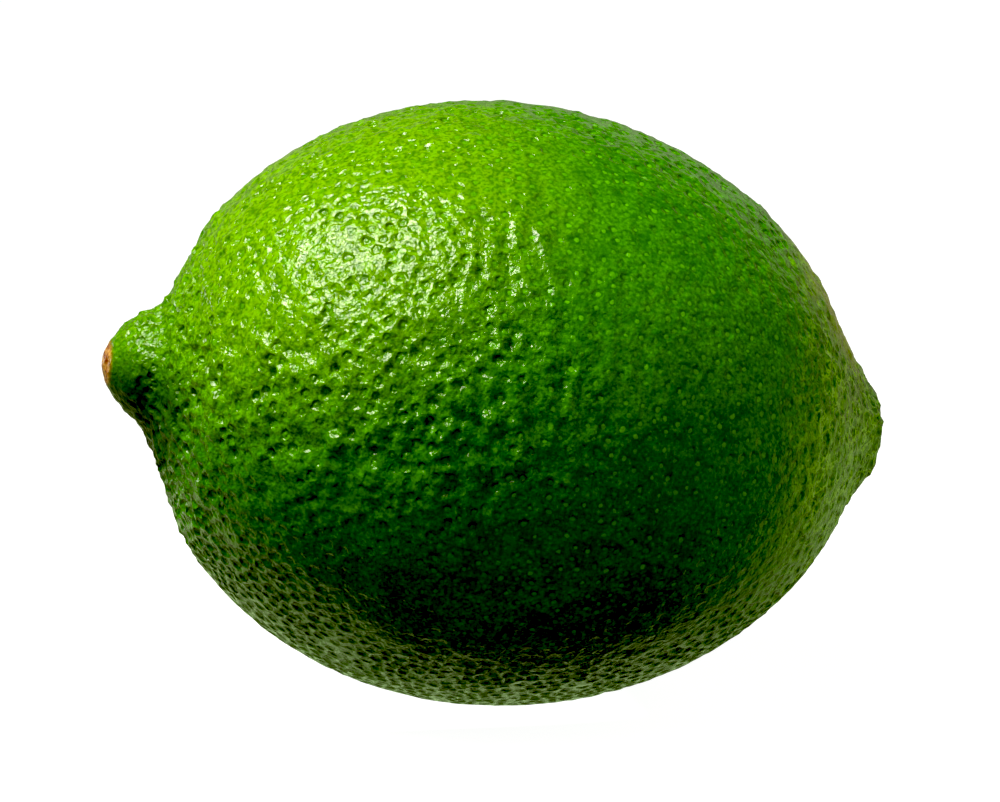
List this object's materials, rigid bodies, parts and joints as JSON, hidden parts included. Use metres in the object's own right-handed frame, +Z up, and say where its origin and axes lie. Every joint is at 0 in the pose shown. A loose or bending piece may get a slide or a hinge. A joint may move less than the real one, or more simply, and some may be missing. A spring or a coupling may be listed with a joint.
{
  "type": "lime",
  "caption": "Whole fresh lime lying on its side: egg-round dimpled body, blunt nipple at one end, low lobed stem collar at the other.",
  "frame": {"origin": "middle of the small flat spot that the fruit rests on", "axes": "+Z up, +X along the fruit from the nipple towards the stem end, -Y towards the side that shows in a front view"},
  "size_m": [0.0671, 0.0511, 0.0513],
  "materials": {
    "rind": "satin"
  },
  "bodies": {
    "root": {"lime": "rind"}
  },
  "joints": []
}
